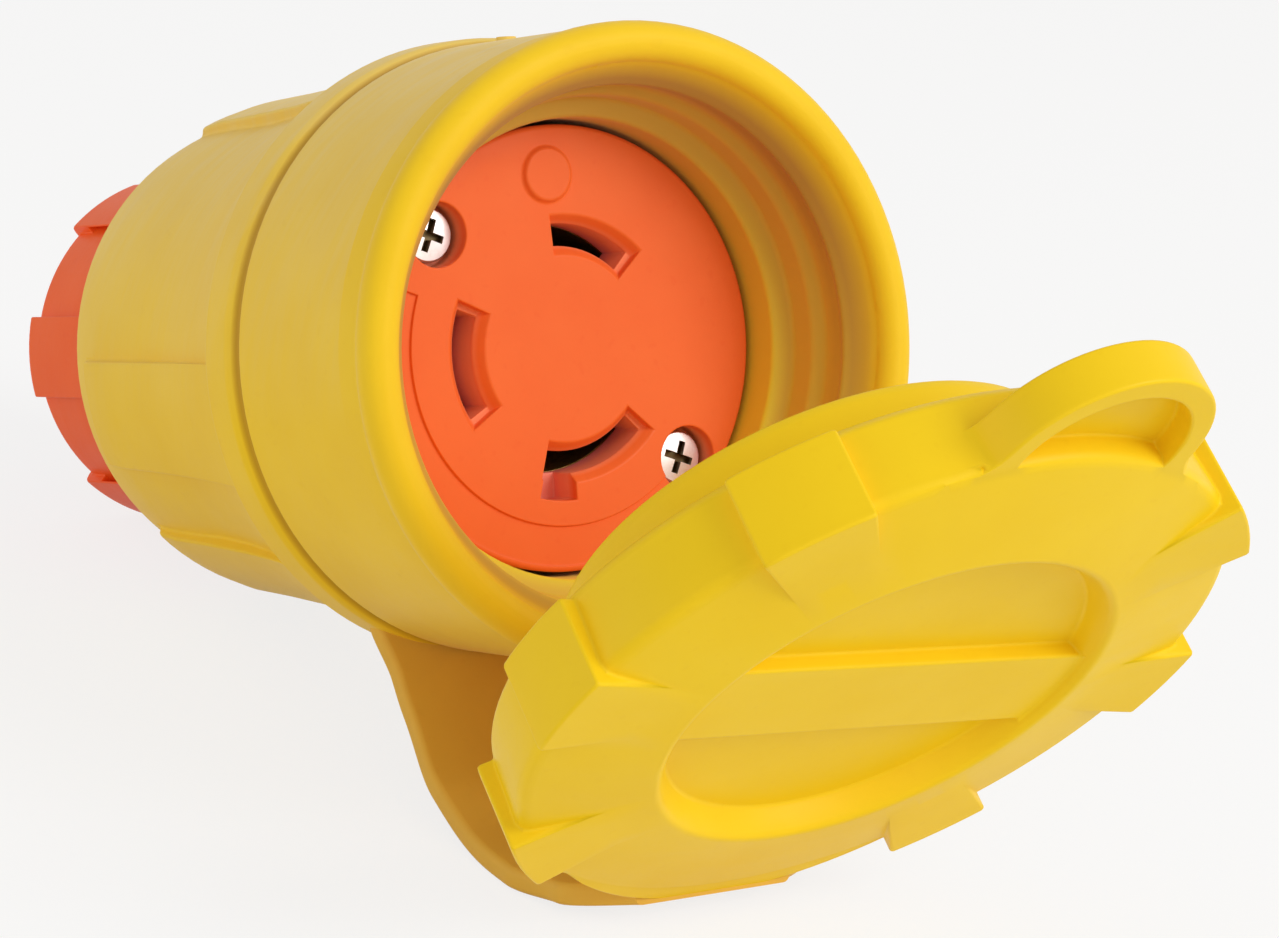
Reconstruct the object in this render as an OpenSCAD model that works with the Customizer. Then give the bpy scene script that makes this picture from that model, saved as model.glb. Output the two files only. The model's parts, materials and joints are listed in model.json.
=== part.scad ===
// Locking power connector with a tethered closure cap.
// Millimetres. The connector is drawn along its own axis, +X out of the mouth, x = 0 at the lip's crest,
// then tipped nose up until the strap's loop and the two lowest nut lugs touch the floor at z = 0.

/* [View] */
// Piece to show, or all

/* [Housing] */
// Outer radius at the crest of the mouth lip
lip_r = 30.8; // [30.4:0.05:31.2]
// Radius of the rounded lip bead
lip_bead = 1.95; // [1.7:0.05:2.2]
// Length of the smooth front band, from the lip's crest
band_len = 24.5; // [23.5:0.1:26]
// Length of the housing behind the lip's crest
body_len = 73.6; // [72:0.2:76]
// Radius of the housing's waist between the grip ribs
waist_r = 26.3; // [25.8:0.05:26.8]
// Height of the grip ribs
rib_h = 1.2; // [0.8:0.05:1.4]
// Half the angle that one grip rib spans, in degrees
rib_half = 12.5; // [8:0.5:15]

/* [Mouth] */
// Bore radius at the inner sealing ridge
mouth_r = 24.2; // [24:0.05:24.5]
// Depth of the contact face behind the lip's crest
face_depth = 14; // [13:0.1:15]

/* [Contact face] */
// Radius of the contact face
face_r = 21.8; // [21.6:0.05:22]
// Mean radius of the blade slots
slot_r = 11.1; // [10.8:0.05:11.4]
// Radial width of the blade slots
slot_w = 2.2; // [1.9:0.05:2.4]
// Radius of the circle that the two assembly screws sit on
screw_circle = 18; // [17.6:0.05:18.2]
// Radius of an assembly screw's head
screw_head = 2.65; // [2.4:0.05:2.8]

/* [Tether] */
// Radius of the strap's outer face in its loop
loop_r = 36.5; // [36:0.1:37]
// Thickness of the strap
strap_t = 2.2; // [1.8:0.1:2.6]
// Width of the strap
strap_w = 29.5; // [24:0.5:31]
// Width of the ring that holds the strap in its groove
ring_w = 6.5; // [6:0.1:7]

/* [Closure cap] */
// How far the cap is swung open, in degrees
cap_open = 52.2; // [50:0.1:54]
// Radius of the cap's rim
cap_r = 33.6; // [33:0.1:34]
// How far the rim lugs stand out of the rim
lug_out = 1.3; // [0.8:0.1:1.6]
// Half the angle that one rim lug spans, in degrees
lug_half = 8.2; // [6:0.2:10]
// Radius of the shallow round recess in the cap's face
dish_r = 21.5; // [20.5:0.1:22]
// Turn of the cap on its strap, in degrees
cap_turn = 6.3; // [0:0.1:8]

/* [Gland] */
// Length of the compression nut behind the housing
nut_len = 23.2; // [21:0.1:25]
// Radius of the compression nut between its lugs
nut_r = 18.8; // [18.4:0.1:19.2]
// Height of the compression nut's lugs
nut_lug = 1.1; // [0.8:0.1:1.4]
// Radius of the cord hole in the bushing
cord_r = 8.5; // [7:0.1:9]

/* [Terminals] */
// Width of a terminal tail
tail_w = 7; // [6:0.1:7.5]
// Radius of a terminal screw's head
term_head = 2.4; // [2.1:0.05:2.5]

/* [Hidden] */
$fn = 96;
eps = 0.02;

// housing stations along the axis
lip_x = 0;
lip_c = lip_r - lip_bead;
nose_x = lip_x + lip_bead;
band_r = lip_r - 0.4;
seat_r = band_r - 3.2;
ring_x0 = -band_len;
ring_x1 = -band_len - ring_w - 0.1;
ring_r = band_r + 0.55;
shoulder_r = ring_r - 1.75;
flare = shoulder_r - waist_r;
chamber_r = face_r + 0.5;
face_x = -face_depth;
split_x = face_x - 5.5;
shoulder_x = face_x - 24.2;
tail_chamber_r = 17;
tail_x1 = shoulder_x - 9;
seat_x0 = shoulder_x - 11.2;
seat_x1 = seat_x0 - 5.6;
gland_r = 17.4;
core_r = 13;
cone_r = 14.4;
seat_fit = 0.05;
rear_r = waist_r - 1.6;

// gland stations
bush_x1 = seat_x1 - 7.3;
wash_x1 = bush_x1 - 1.7;
nut_x0 = -body_len - 0.25;
nut_x1 = nut_x0 - nut_len;
nut_edge = 1;
nut_half = 13.2;

// cap, in its closed place on the connector's axis
seat_gap = 0.2;
flange_t = 10.2;
cap_x = nose_x + seat_gap + flange_t;
plug_l = 7.6;
rim_drop = 1.9;
lug_top = 0.7;
lug_back = 9.3;
root_r = 26;
root_c = cap_r - root_r + 1.6;
root_d = root_c + root_r - 9.2;
strap_gap = 0.2;
pivot_x = -7.56;
pivot_z = -39.52;

// open cap's centre and directions
cap_cx = pivot_x + (cap_x - pivot_x) * cos(cap_open) - pivot_z * sin(cap_open);
cap_cz = pivot_z - (cap_x - pivot_x) * sin(cap_open) - pivot_z * cos(cap_open);
cap_dx = sin(cap_open);
cap_dz = cos(cap_open);

// loop of the strap
loop_x = 6;
loop_z = -14.4;

// how the part lies: the loop and the two lowest nut lugs touch the floor
rest_x = nut_x1 + nut_edge;
rest_r = (nut_r + nut_lug) * sin(60 + nut_half);
span_x = loop_x - rest_x;
span_z = rest_r + loop_z;
tilt = asin(loop_r / sqrt(span_x * span_x + span_z * span_z)) - atan2(span_z, span_x);
floor_z = loop_x * sin(tilt) + loop_z * cos(tilt) - loop_r;
tab_c = 33.3;
tab_r = 10.5;
tab_top = 2;
lean = cap_open - tilt;
low_x = nut_x1 * cos(tilt) - (nut_r + nut_lug - nut_edge) * sin(60 + nut_half) * sin(tilt);
high_x = cap_cx * cos(tilt) - cap_cz * sin(tilt) + (tab_c * cos(cap_turn) + tab_r) * sin(lean) - tab_top * cos(lean);
mid_x = (low_x + high_x) / 2;

// angles round the axis as seen from the front, counted from +Y toward +Z
line_a = 70;
line_span = 50;
neutral_a = 185;
neutral_span = 58;
ground_a = 287;
ground_span = 64;
screw_a = 140;
head_h = 1.6;
pocket_r = screw_head + 0.5;
pocket_d = 3.3;
shank_r = 1.6;
cap_nut_l = 2.9;
cap_nut_r = 3.1;

// lay the connector on the floor
module laid() {
    translate([-mid_x, 0, -floor_z]) rotate([0, -tilt, 0]) children();
}

// turn local Z onto the connector's axis
module along() {
    rotate([0, 90, 0]) children();
}

// swing a closed piece open about the strap
module swung() {
    translate([pivot_x, 0, pivot_z]) rotate([0, cap_open, 0]) translate([-pivot_x, 0, -pivot_z]) children();
}

// a pie slice of the plane, from angle a0 over span degrees
module slice(a0, span, r) {
    polygon([[0, 0], [r * cos(a0), r * sin(a0)], [1.2 * r * cos(a0 + span / 2), 1.2 * r * sin(a0 + span / 2)],
             [r * cos(a0 + span), r * sin(a0 + span)]]);
}

// a ring of the plane
module band2(r0, r1) {
    difference() {
        circle(r = r1);
        circle(r = r0);
    }
}

// yellow elastomer housing
module housing_profile() {
    union() {
        polygon([[lip_c, lip_x], [lip_c - lip_bead * 0.85, lip_x + lip_bead * 0.35], [mouth_r + 1.6, -1.2],
                 [mouth_r + 0.65, -2.5], [mouth_r + 1, -3], [mouth_r + 1, face_x + 8.4], [mouth_r, face_x + 7.4],
                 [mouth_r, face_x + 4.3], [chamber_r, face_x + 3.4],
                 [chamber_r, shoulder_x], [tail_chamber_r, shoulder_x], [tail_chamber_r, tail_x1],
                 [core_r, tail_x1], [core_r, seat_x0], [cone_r, seat_x0], [gland_r, seat_x1], [gland_r, -body_len],
                 [rear_r - 1.1, -body_len], [rear_r - 0.35, -body_len + 0.3], [rear_r + 0.1, -body_len + 0.9],
                 [waist_r - 1.05, -body_len + 3], [waist_r - 0.4, -body_len + 7.6],
                 [waist_r - 0.1, -body_len + 13.6], [waist_r, -body_len + 21.6], [waist_r + 0.17 * flare, ring_x1 - 14.5],
                 [waist_r + 0.45 * flare, ring_x1 - 8], [waist_r + 0.79 * flare, ring_x1 - 3], [shoulder_r, ring_x1],
                 [seat_r, ring_x1], [seat_r, ring_x0], [band_r - 0.25, ring_x0], [band_r - 0.05, ring_x0 + 0.4],
                 [band_r, -4.5], [band_r, -1]]);
        translate([lip_c, lip_x]) circle(r = lip_bead);
        translate([band_r - 0.1, -4.2]) circle(r = 0.24, $fn = 24);
    }
}

module housing_rib() {
    rotate_extrude(angle = 2 * rib_half)
        polygon([[waist_r - 2.5, -body_len + 5], [waist_r - 0.85, -body_len + 5], [waist_r + rib_h - 0.8, -body_len + 6.2],
                 [waist_r + rib_h - 0.3, -body_len + 10.6], [waist_r + rib_h, -body_len + 18.6],
                 [waist_r + rib_h + 0.17 * flare, ring_x1 - 14.5], [waist_r + rib_h + 0.36 * flare, ring_x1 - 8],
                 [waist_r + rib_h + 0.54 * flare, ring_x1 - 3], [shoulder_r + 0.2, ring_x1 - 0.05],
                 [waist_r - 2.5, ring_x1 - 0.05]]);
}

module housing() {
    color([0.93, 0.74, 0.16]) laid() along() {
        rotate_extrude() housing_profile();
        for (g = [12.5, 57.5, 102.5, 147.5, 192.5, 237.5, 282.5])
            rotate([0, 0, 270 + g - rib_half]) housing_rib();
        translate([-band_r, 0, ring_x0 + 2]) rotate([0, 90, 0]) cylinder(r = 1, h = 0.8, center = true);
    }
}

// one blade slot cut, with its sloped entry
module slot_cut(a, span, deep) {
    translate([0, 0, face_x - deep]) linear_extrude(height = deep + 1) intersection() {
        band2(slot_r - slot_w / 2, slot_r + slot_w / 2);
        slice(90 + a - span / 2 + 3, span - 6, 30);
    }
    translate([0, 0, face_x - 1.1]) intersection() {
        difference() {
            cylinder(r1 = slot_r + slot_w / 2, r2 = slot_r + slot_w / 2 + 1.2, h = 1.5);
            translate([0, 0, -0.1]) cylinder(r1 = slot_r - slot_w / 2 + 0.08, r2 = slot_r - slot_w / 2 - 1.28, h = 1.7);
        }
        linear_extrude(height = 3) slice(90 + a - span / 2, span, 30);
    }
}

// outward hook at one end of the ground slot
module hook_cut() {
    translate([0, 0, face_x - 4.2]) linear_extrude(height = 5) intersection() {
        band2(slot_r - slot_w / 2, slot_r + slot_w / 2 + 2.6);
        slice(90 + ground_a - ground_span / 2 + 0.8, 16.5, 30);
    }
}

module at_screw(a) {
    rotate([0, 0, 90 + a]) translate([screw_circle, 0, 0]) children();
}

// orange front insert with the blade slots
module contact_face() {
    color([0.9, 0.38, 0.18]) laid() along() difference() {
        union() {
            rotate_extrude()
                polygon([[0, split_x], [face_r, split_x], [face_r, face_x - 0.5], [face_r - 0.3, face_x - 0.2],
                         [face_r - 2.2, face_x], [0, face_x]]);
            rotate([0, 0, 90 + 94.5]) translate([17, 0, face_x - 0.5]) cylinder(r1 = 3.1, r2 = 2.5, h = 1);
        }
        slot_cut(line_a, line_span, 9);
        slot_cut(neutral_a, neutral_span, 9);
        slot_cut(ground_a, ground_span, 9);
        hook_cut();
        for (a = [screw_a, screw_a + 180]) at_screw(a) {
            translate([0, 0, face_x - pocket_d]) cylinder(r = pocket_r, h = 6);
            translate([0, 0, split_x - 1]) cylinder(r = shank_r + 0.2, h = 12);
        }
        translate([0, 0, face_x - 0.3]) linear_extrude(height = 2) intersection() {
            band2(17.3, 21.2);
            slice(250, 153, 30);
        }
    }
}

// insulating carrier behind the face
module contact_carrier() {
    color([0.2, 0.2, 0.21]) laid() along() difference() {
        translate([0, 0, shoulder_x]) cylinder(r = face_r - 0.2, h = split_x - shoulder_x);
        for (t = [[line_a, line_span], [neutral_a, neutral_span], [ground_a, ground_span]]) {
            translate([0, 0, split_x - 13.7]) linear_extrude(height = 20) intersection() {
                band2(slot_r - slot_w / 2 - 0.75, slot_r + slot_w / 2 + 0.75);
                slice(90 + t[0] - t[1] / 2 - 1, t[1] + 2, 30);
            }
            rotate([0, 0, 90 + t[0]]) translate([slot_r, 0, shoulder_x])
                cube([2.3, tail_w + 0.3, 30], center = true);
        }
        for (a = [screw_a, screw_a + 180]) at_screw(a) {
            translate([0, 0, shoulder_x - 1]) cylinder(r = shank_r + 0.2, h = 40);
            translate([0, 0, shoulder_x - 1]) cylinder(r = cap_nut_r + 0.1, h = cap_nut_l + 1, $fn = 6);
        }
    }
}

// brass female contact: an arc channel, a back web and a terminal tail
module contact(a, span) {
    color([0.83, 0.66, 0.3]) laid() along() difference() {
        union() {
            translate([0, 0, split_x - 13.6]) linear_extrude(height = 13.4) intersection() {
                band2(slot_r - slot_w / 2 - 0.6, slot_r + slot_w / 2 + 0.6);
                slice(90 + a - span / 2, span, 30);
            }
            rotate([0, 0, 90 + a]) translate([slot_r - 1, -tail_w / 2, tail_x1 + 0.6])
                cube([2, tail_w, split_x - 10 - tail_x1 - 0.6]);
        }
        translate([0, 0, split_x - 11.4]) linear_extrude(height = 20) intersection() {
            band2(slot_r - slot_w / 2, slot_r + slot_w / 2);
            slice(90 + a - span / 2 - 4, span + 8, 30);
        }
        rotate([0, 0, 90 + a]) translate([0, 0, shoulder_x - 4.4]) rotate([0, 90, 0])
            cylinder(r = 1.25, h = 16, $fn = 32);
    }
}

module line_contact() {
    contact(line_a, line_span);
}

module neutral_contact() {
    contact(neutral_a, neutral_span);
}

module ground_contact() {
    contact(ground_a, ground_span);
}

// pressure plate that grips a conductor against its tail
module clamp_plate(a) {
    color([0.72, 0.73, 0.74]) laid() along() rotate([0, 0, 90 + a]) difference() {
        translate([slot_r + 1, -tail_w / 2 + 0.4, shoulder_x - 7.6]) cube([1.4, tail_w - 0.8, 6.4]);
        translate([0, 0, shoulder_x - 4.4]) rotate([0, 90, 0]) cylinder(r = 1.45, h = 20, $fn = 32);
    }
}

module line_clamp() {
    clamp_plate(line_a);
}

module neutral_clamp() {
    clamp_plate(neutral_a);
}

module ground_clamp() {
    clamp_plate(ground_a);
}

// terminal screw, pointing in at the axis
module term_screw(a) {
    color([0.78, 0.78, 0.8]) laid() along() rotate([0, 0, 90 + a]) translate([0, 0, shoulder_x - 4.4])
        rotate([0, 90, 0]) difference() {
            union() {
                translate([0, 0, slot_r - 2.2]) cylinder(r = 1.25, h = 5, $fn = 32);
                translate([0, 0, slot_r + 2.4]) cylinder(r = term_head, h = 1.9, $fn = 48);
            }
            translate([0, 0, slot_r + 4.3]) cube([0.7, 6, 1.6], center = true);
        }
}

module line_screw() {
    term_screw(line_a);
}

module neutral_screw() {
    term_screw(neutral_a);
}

module ground_screw() {
    term_screw(ground_a);
}

// long cross-recess screw that pulls face and carrier together
module assembly_screw(a) {
    color([0.8, 0.8, 0.82]) laid() along() at_screw(a) difference() {
        union() {
            translate([0, 0, face_x - pocket_d]) rotate_extrude()
                polygon([[0, 0], [screw_head, 0], [screw_head, head_h - 0.35], [screw_head - 0.2, head_h - 0.1],
                         [0, head_h + 0.1]]);
            translate([0, 0, shoulder_x + 0.4]) cylinder(r = shank_r, h = face_x - pocket_d - shoulder_x, $fn = 32);
        }
        translate([0, 0, face_x - pocket_d + head_h]) {
            rotate([0, 0, 20]) cube([3.3, 0.75, 2], center = true);
            rotate([0, 0, 110]) cube([3.3, 0.75, 2], center = true);
        }
    }
}

module assembly_screw_upper() {
    assembly_screw(screw_a);
}

module assembly_screw_lower() {
    assembly_screw(screw_a + 180);
}

// hex nut held in the carrier's back
module captive_nut(a) {
    color([0.75, 0.75, 0.77]) laid() along() at_screw(a) difference() {
        translate([0, 0, shoulder_x + 0.05]) cylinder(r = cap_nut_r, h = cap_nut_l - 0.1, $fn = 6);
        translate([0, 0, shoulder_x - 1]) cylinder(r = shank_r, h = 8, $fn = 32);
    }
}

module captive_nut_upper() {
    captive_nut(screw_a);
}

module captive_nut_lower() {
    captive_nut(screw_a + 180);
}

// rubber bushing squeezed round the cord
module gland_bushing() {
    color([0.16, 0.16, 0.17]) laid() along() rotate_extrude()
        polygon([[cord_r, bush_x1], [gland_r - 0.2, bush_x1], [gland_r - 0.2, seat_x1 + 0.37 - seat_fit], [cone_r, seat_x0 - seat_fit],
                 [cord_r + 1, seat_x0 - seat_fit], [cord_r, seat_x0 - 1]]);
}

// hard washer that keeps the turning nut off the bushing
module thrust_washer() {
    color([0.85, 0.86, 0.86]) laid() along() translate([0, 0, wash_x1]) difference() {
        cylinder(r = gland_r - 0.06, h = bush_x1 - wash_x1);
        translate([0, 0, -1]) cylinder(r = cord_r + 1.8, h = 5);
    }
}

// orange compression nut with six hollow-sided lugs
module compression_nut() {
    color([0.89, 0.36, 0.17]) laid() along() {
        rotate_extrude()
            polygon([[cord_r + 2.6, wash_x1], [gland_r - 0.8, wash_x1], [gland_r - 0.06, wash_x1 - 0.8],
                     [gland_r - 0.06, nut_x0], [nut_r - 0.2, nut_x0], [nut_r + 0.2, nut_x0 - 0.5], [nut_r, nut_x1 + 1.2],
                     [nut_r - 0.35, nut_x1 + 0.35], [nut_r - 1.2, nut_x1], [cord_r + 4.2, nut_x1],
                     [cord_r + 2.6, nut_x1 + 1.6]]);
        difference() {
            for (i = [0:5]) rotate([0, 0, 60 * i + 30 - nut_half]) rotate_extrude(angle = 2 * nut_half)
                polygon([[nut_r - 2, nut_x0 - 1.4], [nut_r + nut_lug - 0.7, nut_x0 - 1.4],
                         [nut_r + nut_lug, nut_x0 - 2.4], [nut_r + nut_lug, nut_x1 + nut_edge],
                         [nut_r + nut_lug - 0.3, nut_x1 + 0.35], [nut_r + nut_lug - nut_edge, nut_x1],
                         [nut_r - 2, nut_x1]]);
            for (i = [0:5]) for (side = [-1, 1])
                rotate([0, 0, 60 * i + 30 + side * nut_half]) translate([nut_r + 0.35, 0, nut_x1 + 7.5])
                    cube([0.9, 2.6, 6], center = true);
        }
    }
}

// ring that holds the tether in the housing's groove
module strap_ring() {
    color([0.9, 0.71, 0.15]) laid() along() translate([0, 0, ring_x0 - 0.05]) rotate_extrude()
        polygon([[seat_r + seat_fit, -ring_w], [ring_r - 0.9, -ring_w], [ring_r - 0.25, -ring_w + 0.5], [ring_r, -ring_w + 1.2],
                 [ring_r, -1.5], [ring_r - 0.3, -0.8], [ring_r - 0.8, -0.4], [ring_r - 0.95, 0],
                 [seat_r + seat_fit, 0]]);
}

// strap that loops from the ring to the cap
module tether_strap() {
    color([0.9, 0.71, 0.15]) laid() difference() {
        rotate([90, 0, 0]) linear_extrude(height = strap_w, center = true) intersection() {
            translate([loop_x, loop_z]) band2(loop_r - strap_t, loop_r);
            translate([cap_cx, cap_cz]) rotate([0, 0, 90 - cap_open]) translate([-root_d - 32, rim_drop + 0.3]) square([30, 70]);
            translate([-50, -80]) square([100, 58]);
        }
        for (side = [-1, 1]) translate([0, 0, -60]) linear_extrude(height = 30)
            polygon([[2.5, side * strap_w / 2], [8, side * 9], [30, side * 8], [30, side * 40], [2.5, side * 40]]);
        along() translate([0, 0, ring_x1 - 6]) cylinder(r = ring_r, h = 6.1 + ring_w);
        along() translate([0, 0, ring_x0 - 0.1]) cylinder(r = band_r + 0.25, h = 40);
        swung() translate([cap_x, 0, 0]) along() {
            translate([root_c, 0, -9]) cylinder(r = root_r, h = 12);
            translate([0, 0, -flange_t - strap_gap]) cylinder(r = cap_r + strap_gap, h = flange_t - rim_drop);
        }
    }
}

// closure cap, drawn closed and swung open
module cap_profile() {
    polygon([[0, -2.6], [dish_r - 1.5, -2.6], [dish_r - 0.5, -0.5], [dish_r, -0.05], [dish_r + 0.6, -0.02],
             [cap_r - 1.2, -rim_drop + 0.2], [cap_r - 0.35, -rim_drop - 0.15], [cap_r, -rim_drop - 0.9],
             [cap_r - 0.3, -flange_t + 0.9], [cap_r - 1, -flange_t + 0.1], [31.6, -flange_t], [31.3, -flange_t + 0.25],
             [26.1, -flange_t + 0.25], [25.8, -flange_t - 0.1], [25, -flange_t - 0.5], [24.9, -flange_t - 1.3],
             [24.5, -flange_t - 1.6], [24.3, -flange_t - 4.6], [24.1, -flange_t - 6.3], [23.9, -flange_t - plug_l + 0.5],
             [23.3, -flange_t - plug_l], [20, -flange_t - plug_l], [19, -flange_t - plug_l + 1.5],
             [0, -flange_t - plug_l + 1.5]]);
}

// pull tab with a half-round blind pocket
module cap_tab() {
    fillet = 4;
    reach = cap_r - 0.7 + fillet;
    fx = (tab_c * tab_c + reach * reach - (tab_r + fillet) * (tab_r + fillet)) / (2 * tab_c);
    fy = sqrt(reach * reach - fx * fx) + 0.06;
    difference() {
        translate([0, 0, -6.3]) linear_extrude(height = 6.3 - tab_top) {
            translate([-tab_c, 0]) circle(r = tab_r);
            difference() {
                polygon([[-26, -fy], [-fx, -fy], [-fx, fy], [-26, fy]]);
                for (side = [-1, 1]) translate([-fx, side * fy]) circle(r = fillet);
            }
        }
        translate([0, 0, -4.4]) linear_extrude(height = 6) intersection() {
            translate([-tab_c + 0.3, 0]) circle(r = tab_r - 2.1);
            translate([-tab_c - 14, -20]) square([18, 40]);
        }
    }
}

module closure_cap() {
    color([0.95, 0.79, 0.12]) laid() swung() translate([cap_x, 0, 0]) along() {
        rotate_extrude() cap_profile();
        rotate([0, 0, -cap_turn]) {
            for (i = [-3, -2, -1, 1, 2, 3])
                translate([0, 0, -lug_back]) linear_extrude(height = lug_back - lug_top) intersection() {
                    band2(24, cap_r + lug_out);
                    slice(180 + 45 * i - lug_half, 2 * lug_half, 40);
                }
            cap_tab();
            translate([0, 0, -3.5]) linear_extrude(height = 2.5) intersection() {
                circle(r = dish_r - 0.4);
                square([10.2, 60], center = true);
            }
        }
        translate([0, 0, -6.9]) linear_extrude(height = 6.9 - rim_drop) intersection() {
            translate([root_c, 0]) circle(r = root_r);
            translate([root_d, -30]) square([30, 60]);
        }
    }
}

housing();
contact_face();
contact_carrier();
line_contact();
neutral_contact();
ground_contact();
line_clamp();
neutral_clamp();
ground_clamp();
line_screw();
neutral_screw();
ground_screw();
assembly_screw_upper();
assembly_screw_lower();
captive_nut_upper();
captive_nut_lower();
gland_bushing();
thrust_washer();
compression_nut();
strap_ring();
tether_strap();
closure_cap();
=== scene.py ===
"""Dresses the locking power connector: rounded mouldings, tether strap, finishes, studio light and camera.

Lengths in the classes are millimetres on the connector's own axis, with x = 0 at the lip's crest and +x out
of the mouth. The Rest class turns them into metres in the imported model's frame.
"""

from __future__ import annotations

import json
import logging
import math
from dataclasses import dataclass, field, fields
from enum import Enum
from typing import Any, Sequence

import bmesh
import bpy
import numpy as np
from mathutils import Matrix, Vector

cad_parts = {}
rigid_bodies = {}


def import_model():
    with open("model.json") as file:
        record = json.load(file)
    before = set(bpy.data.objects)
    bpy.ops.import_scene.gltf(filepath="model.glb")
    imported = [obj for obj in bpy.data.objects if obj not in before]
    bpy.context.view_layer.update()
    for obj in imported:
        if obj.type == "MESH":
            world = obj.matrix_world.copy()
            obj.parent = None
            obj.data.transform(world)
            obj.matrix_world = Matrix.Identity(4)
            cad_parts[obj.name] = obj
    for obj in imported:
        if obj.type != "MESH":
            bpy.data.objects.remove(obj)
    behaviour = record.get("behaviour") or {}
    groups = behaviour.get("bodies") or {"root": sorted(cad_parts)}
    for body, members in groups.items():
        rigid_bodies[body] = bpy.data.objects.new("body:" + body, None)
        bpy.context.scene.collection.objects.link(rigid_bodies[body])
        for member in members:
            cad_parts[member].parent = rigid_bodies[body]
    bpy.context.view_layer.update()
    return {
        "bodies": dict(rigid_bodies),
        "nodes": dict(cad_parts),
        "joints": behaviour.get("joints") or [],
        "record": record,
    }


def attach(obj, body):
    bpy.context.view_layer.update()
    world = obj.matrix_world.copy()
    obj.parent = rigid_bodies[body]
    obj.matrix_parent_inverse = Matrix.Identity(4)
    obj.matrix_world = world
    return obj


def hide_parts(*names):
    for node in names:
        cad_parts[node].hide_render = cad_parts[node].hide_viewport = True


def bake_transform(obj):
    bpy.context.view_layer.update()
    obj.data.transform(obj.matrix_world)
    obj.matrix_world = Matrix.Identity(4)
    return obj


LOG = logging.getLogger("connector")
MM = 0.001
IMAGE_WIDTH = 1279
WHITE = (1.0, 1.0, 1.0, 1.0)

# Faces that differ less than FLAT lie in one plane; edges above BEND bound the room for rounding.
FLAT = math.radians(0.4)
BEND = math.radians(12)
SHARP = math.radians(40)
STRAP_SHARP = math.radians(50)

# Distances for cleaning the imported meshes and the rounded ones.
WELD = 0.002 * MM
SLIVER = 0.08 * MM
CUT_SNAP = 0.03 * MM
FINE_WELD = 0.001 * MM

# Limits for drawing a patch in from its edges.
NEARLY_ALONG = 0.97
NEARLY_AGAINST = -0.9
LONGEST_STEP = 2.2
LEAST_LEFT = 0.1
LEAST_FACING = 0.3
LEAST_AREA = 1e-12
TRIES = 60
EASED = 0.6
LEAST_SHARE = 0.08
CORNER_FULLNESS = 0.85
ROOM_SHARE = 0.42
CUT_TURNS = 36
EVENING_ROUNDS = 3
NORMAL_WEIGHT = 60

Colour = tuple[float, float, float]
Span = tuple[float, float]


class Body(Enum):
    """The bodies that pieces ride on."""

    CONNECTOR = "connector"
    WASHER = "washer"
    NUT = "nut"
    CAP = "cap"


class Slot(Enum):
    """The record's material slots."""

    YELLOW_BODY = "yellow_body"
    YELLOW_CAP = "yellow_cap"
    ORANGE_FACE = "orange_face"
    ORANGE_NUT = "orange_nut"
    BLACK_INSULATOR = "black_insulator"
    BRASS_CONTACT = "brass_contact"
    PLATED_STEEL = "plated_steel"
    BLACK_RUBBER = "black_rubber"
    WHITE_PLASTIC = "white_plastic"


def linear(colour: Colour) -> tuple[float, float, float, float]:
    """Turns a screen colour into the shader's linear one.

    Args:
        colour: Red, green and blue from 0 to 255, as a screen shows them.

    Returns:
        Linear red, green, blue and an alpha of 1.
    """
    shares = [c / 255 for c in colour]
    values = [((c + 0.055) / 1.055) ** 2.4 if c > 0.04045 else c / 12.92 for c in shares]
    return values[0], values[1], values[2], 1.0


class Channel:
    """One output of a shader graph, with arithmetic that adds Math nodes."""

    def __init__(self, graph: Graph, socket: bpy.types.NodeSocket) -> None:
        """Keeps the graph and the socket."""
        self.graph = graph
        self.socket = socket

    def _math(self, operation: str, first: Any, second: Any) -> Channel:
        """Adds one Math node.

        Args:
            operation: The Math node's operation.
            first: The first value or link.
            second: The second value or link.

        Returns:
            The node's result.
        """
        return self.graph.node("ShaderNodeMath", {"operation": operation}, {0: first, 1: second})

    def __add__(self, other: Any) -> Channel:
        """Adds a value or a link."""
        return self._math("ADD", self, other)

    def __radd__(self, other: Any) -> Channel:
        """Adds to a number on the left."""
        return self._math("ADD", other, self)

    def __sub__(self, other: Any) -> Channel:
        """Takes away a value or a link."""
        return self._math("SUBTRACT", self, other)

    def __rsub__(self, other: Any) -> Channel:
        """Is taken away from a number on the left."""
        return self._math("SUBTRACT", other, self)

    def __mul__(self, other: Any) -> Channel:
        """Multiplies by a value or a link."""
        return self._math("MULTIPLY", self, other)

    def __rmul__(self, other: Any) -> Channel:
        """Multiplies a number on the left."""
        return self._math("MULTIPLY", other, self)


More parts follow.
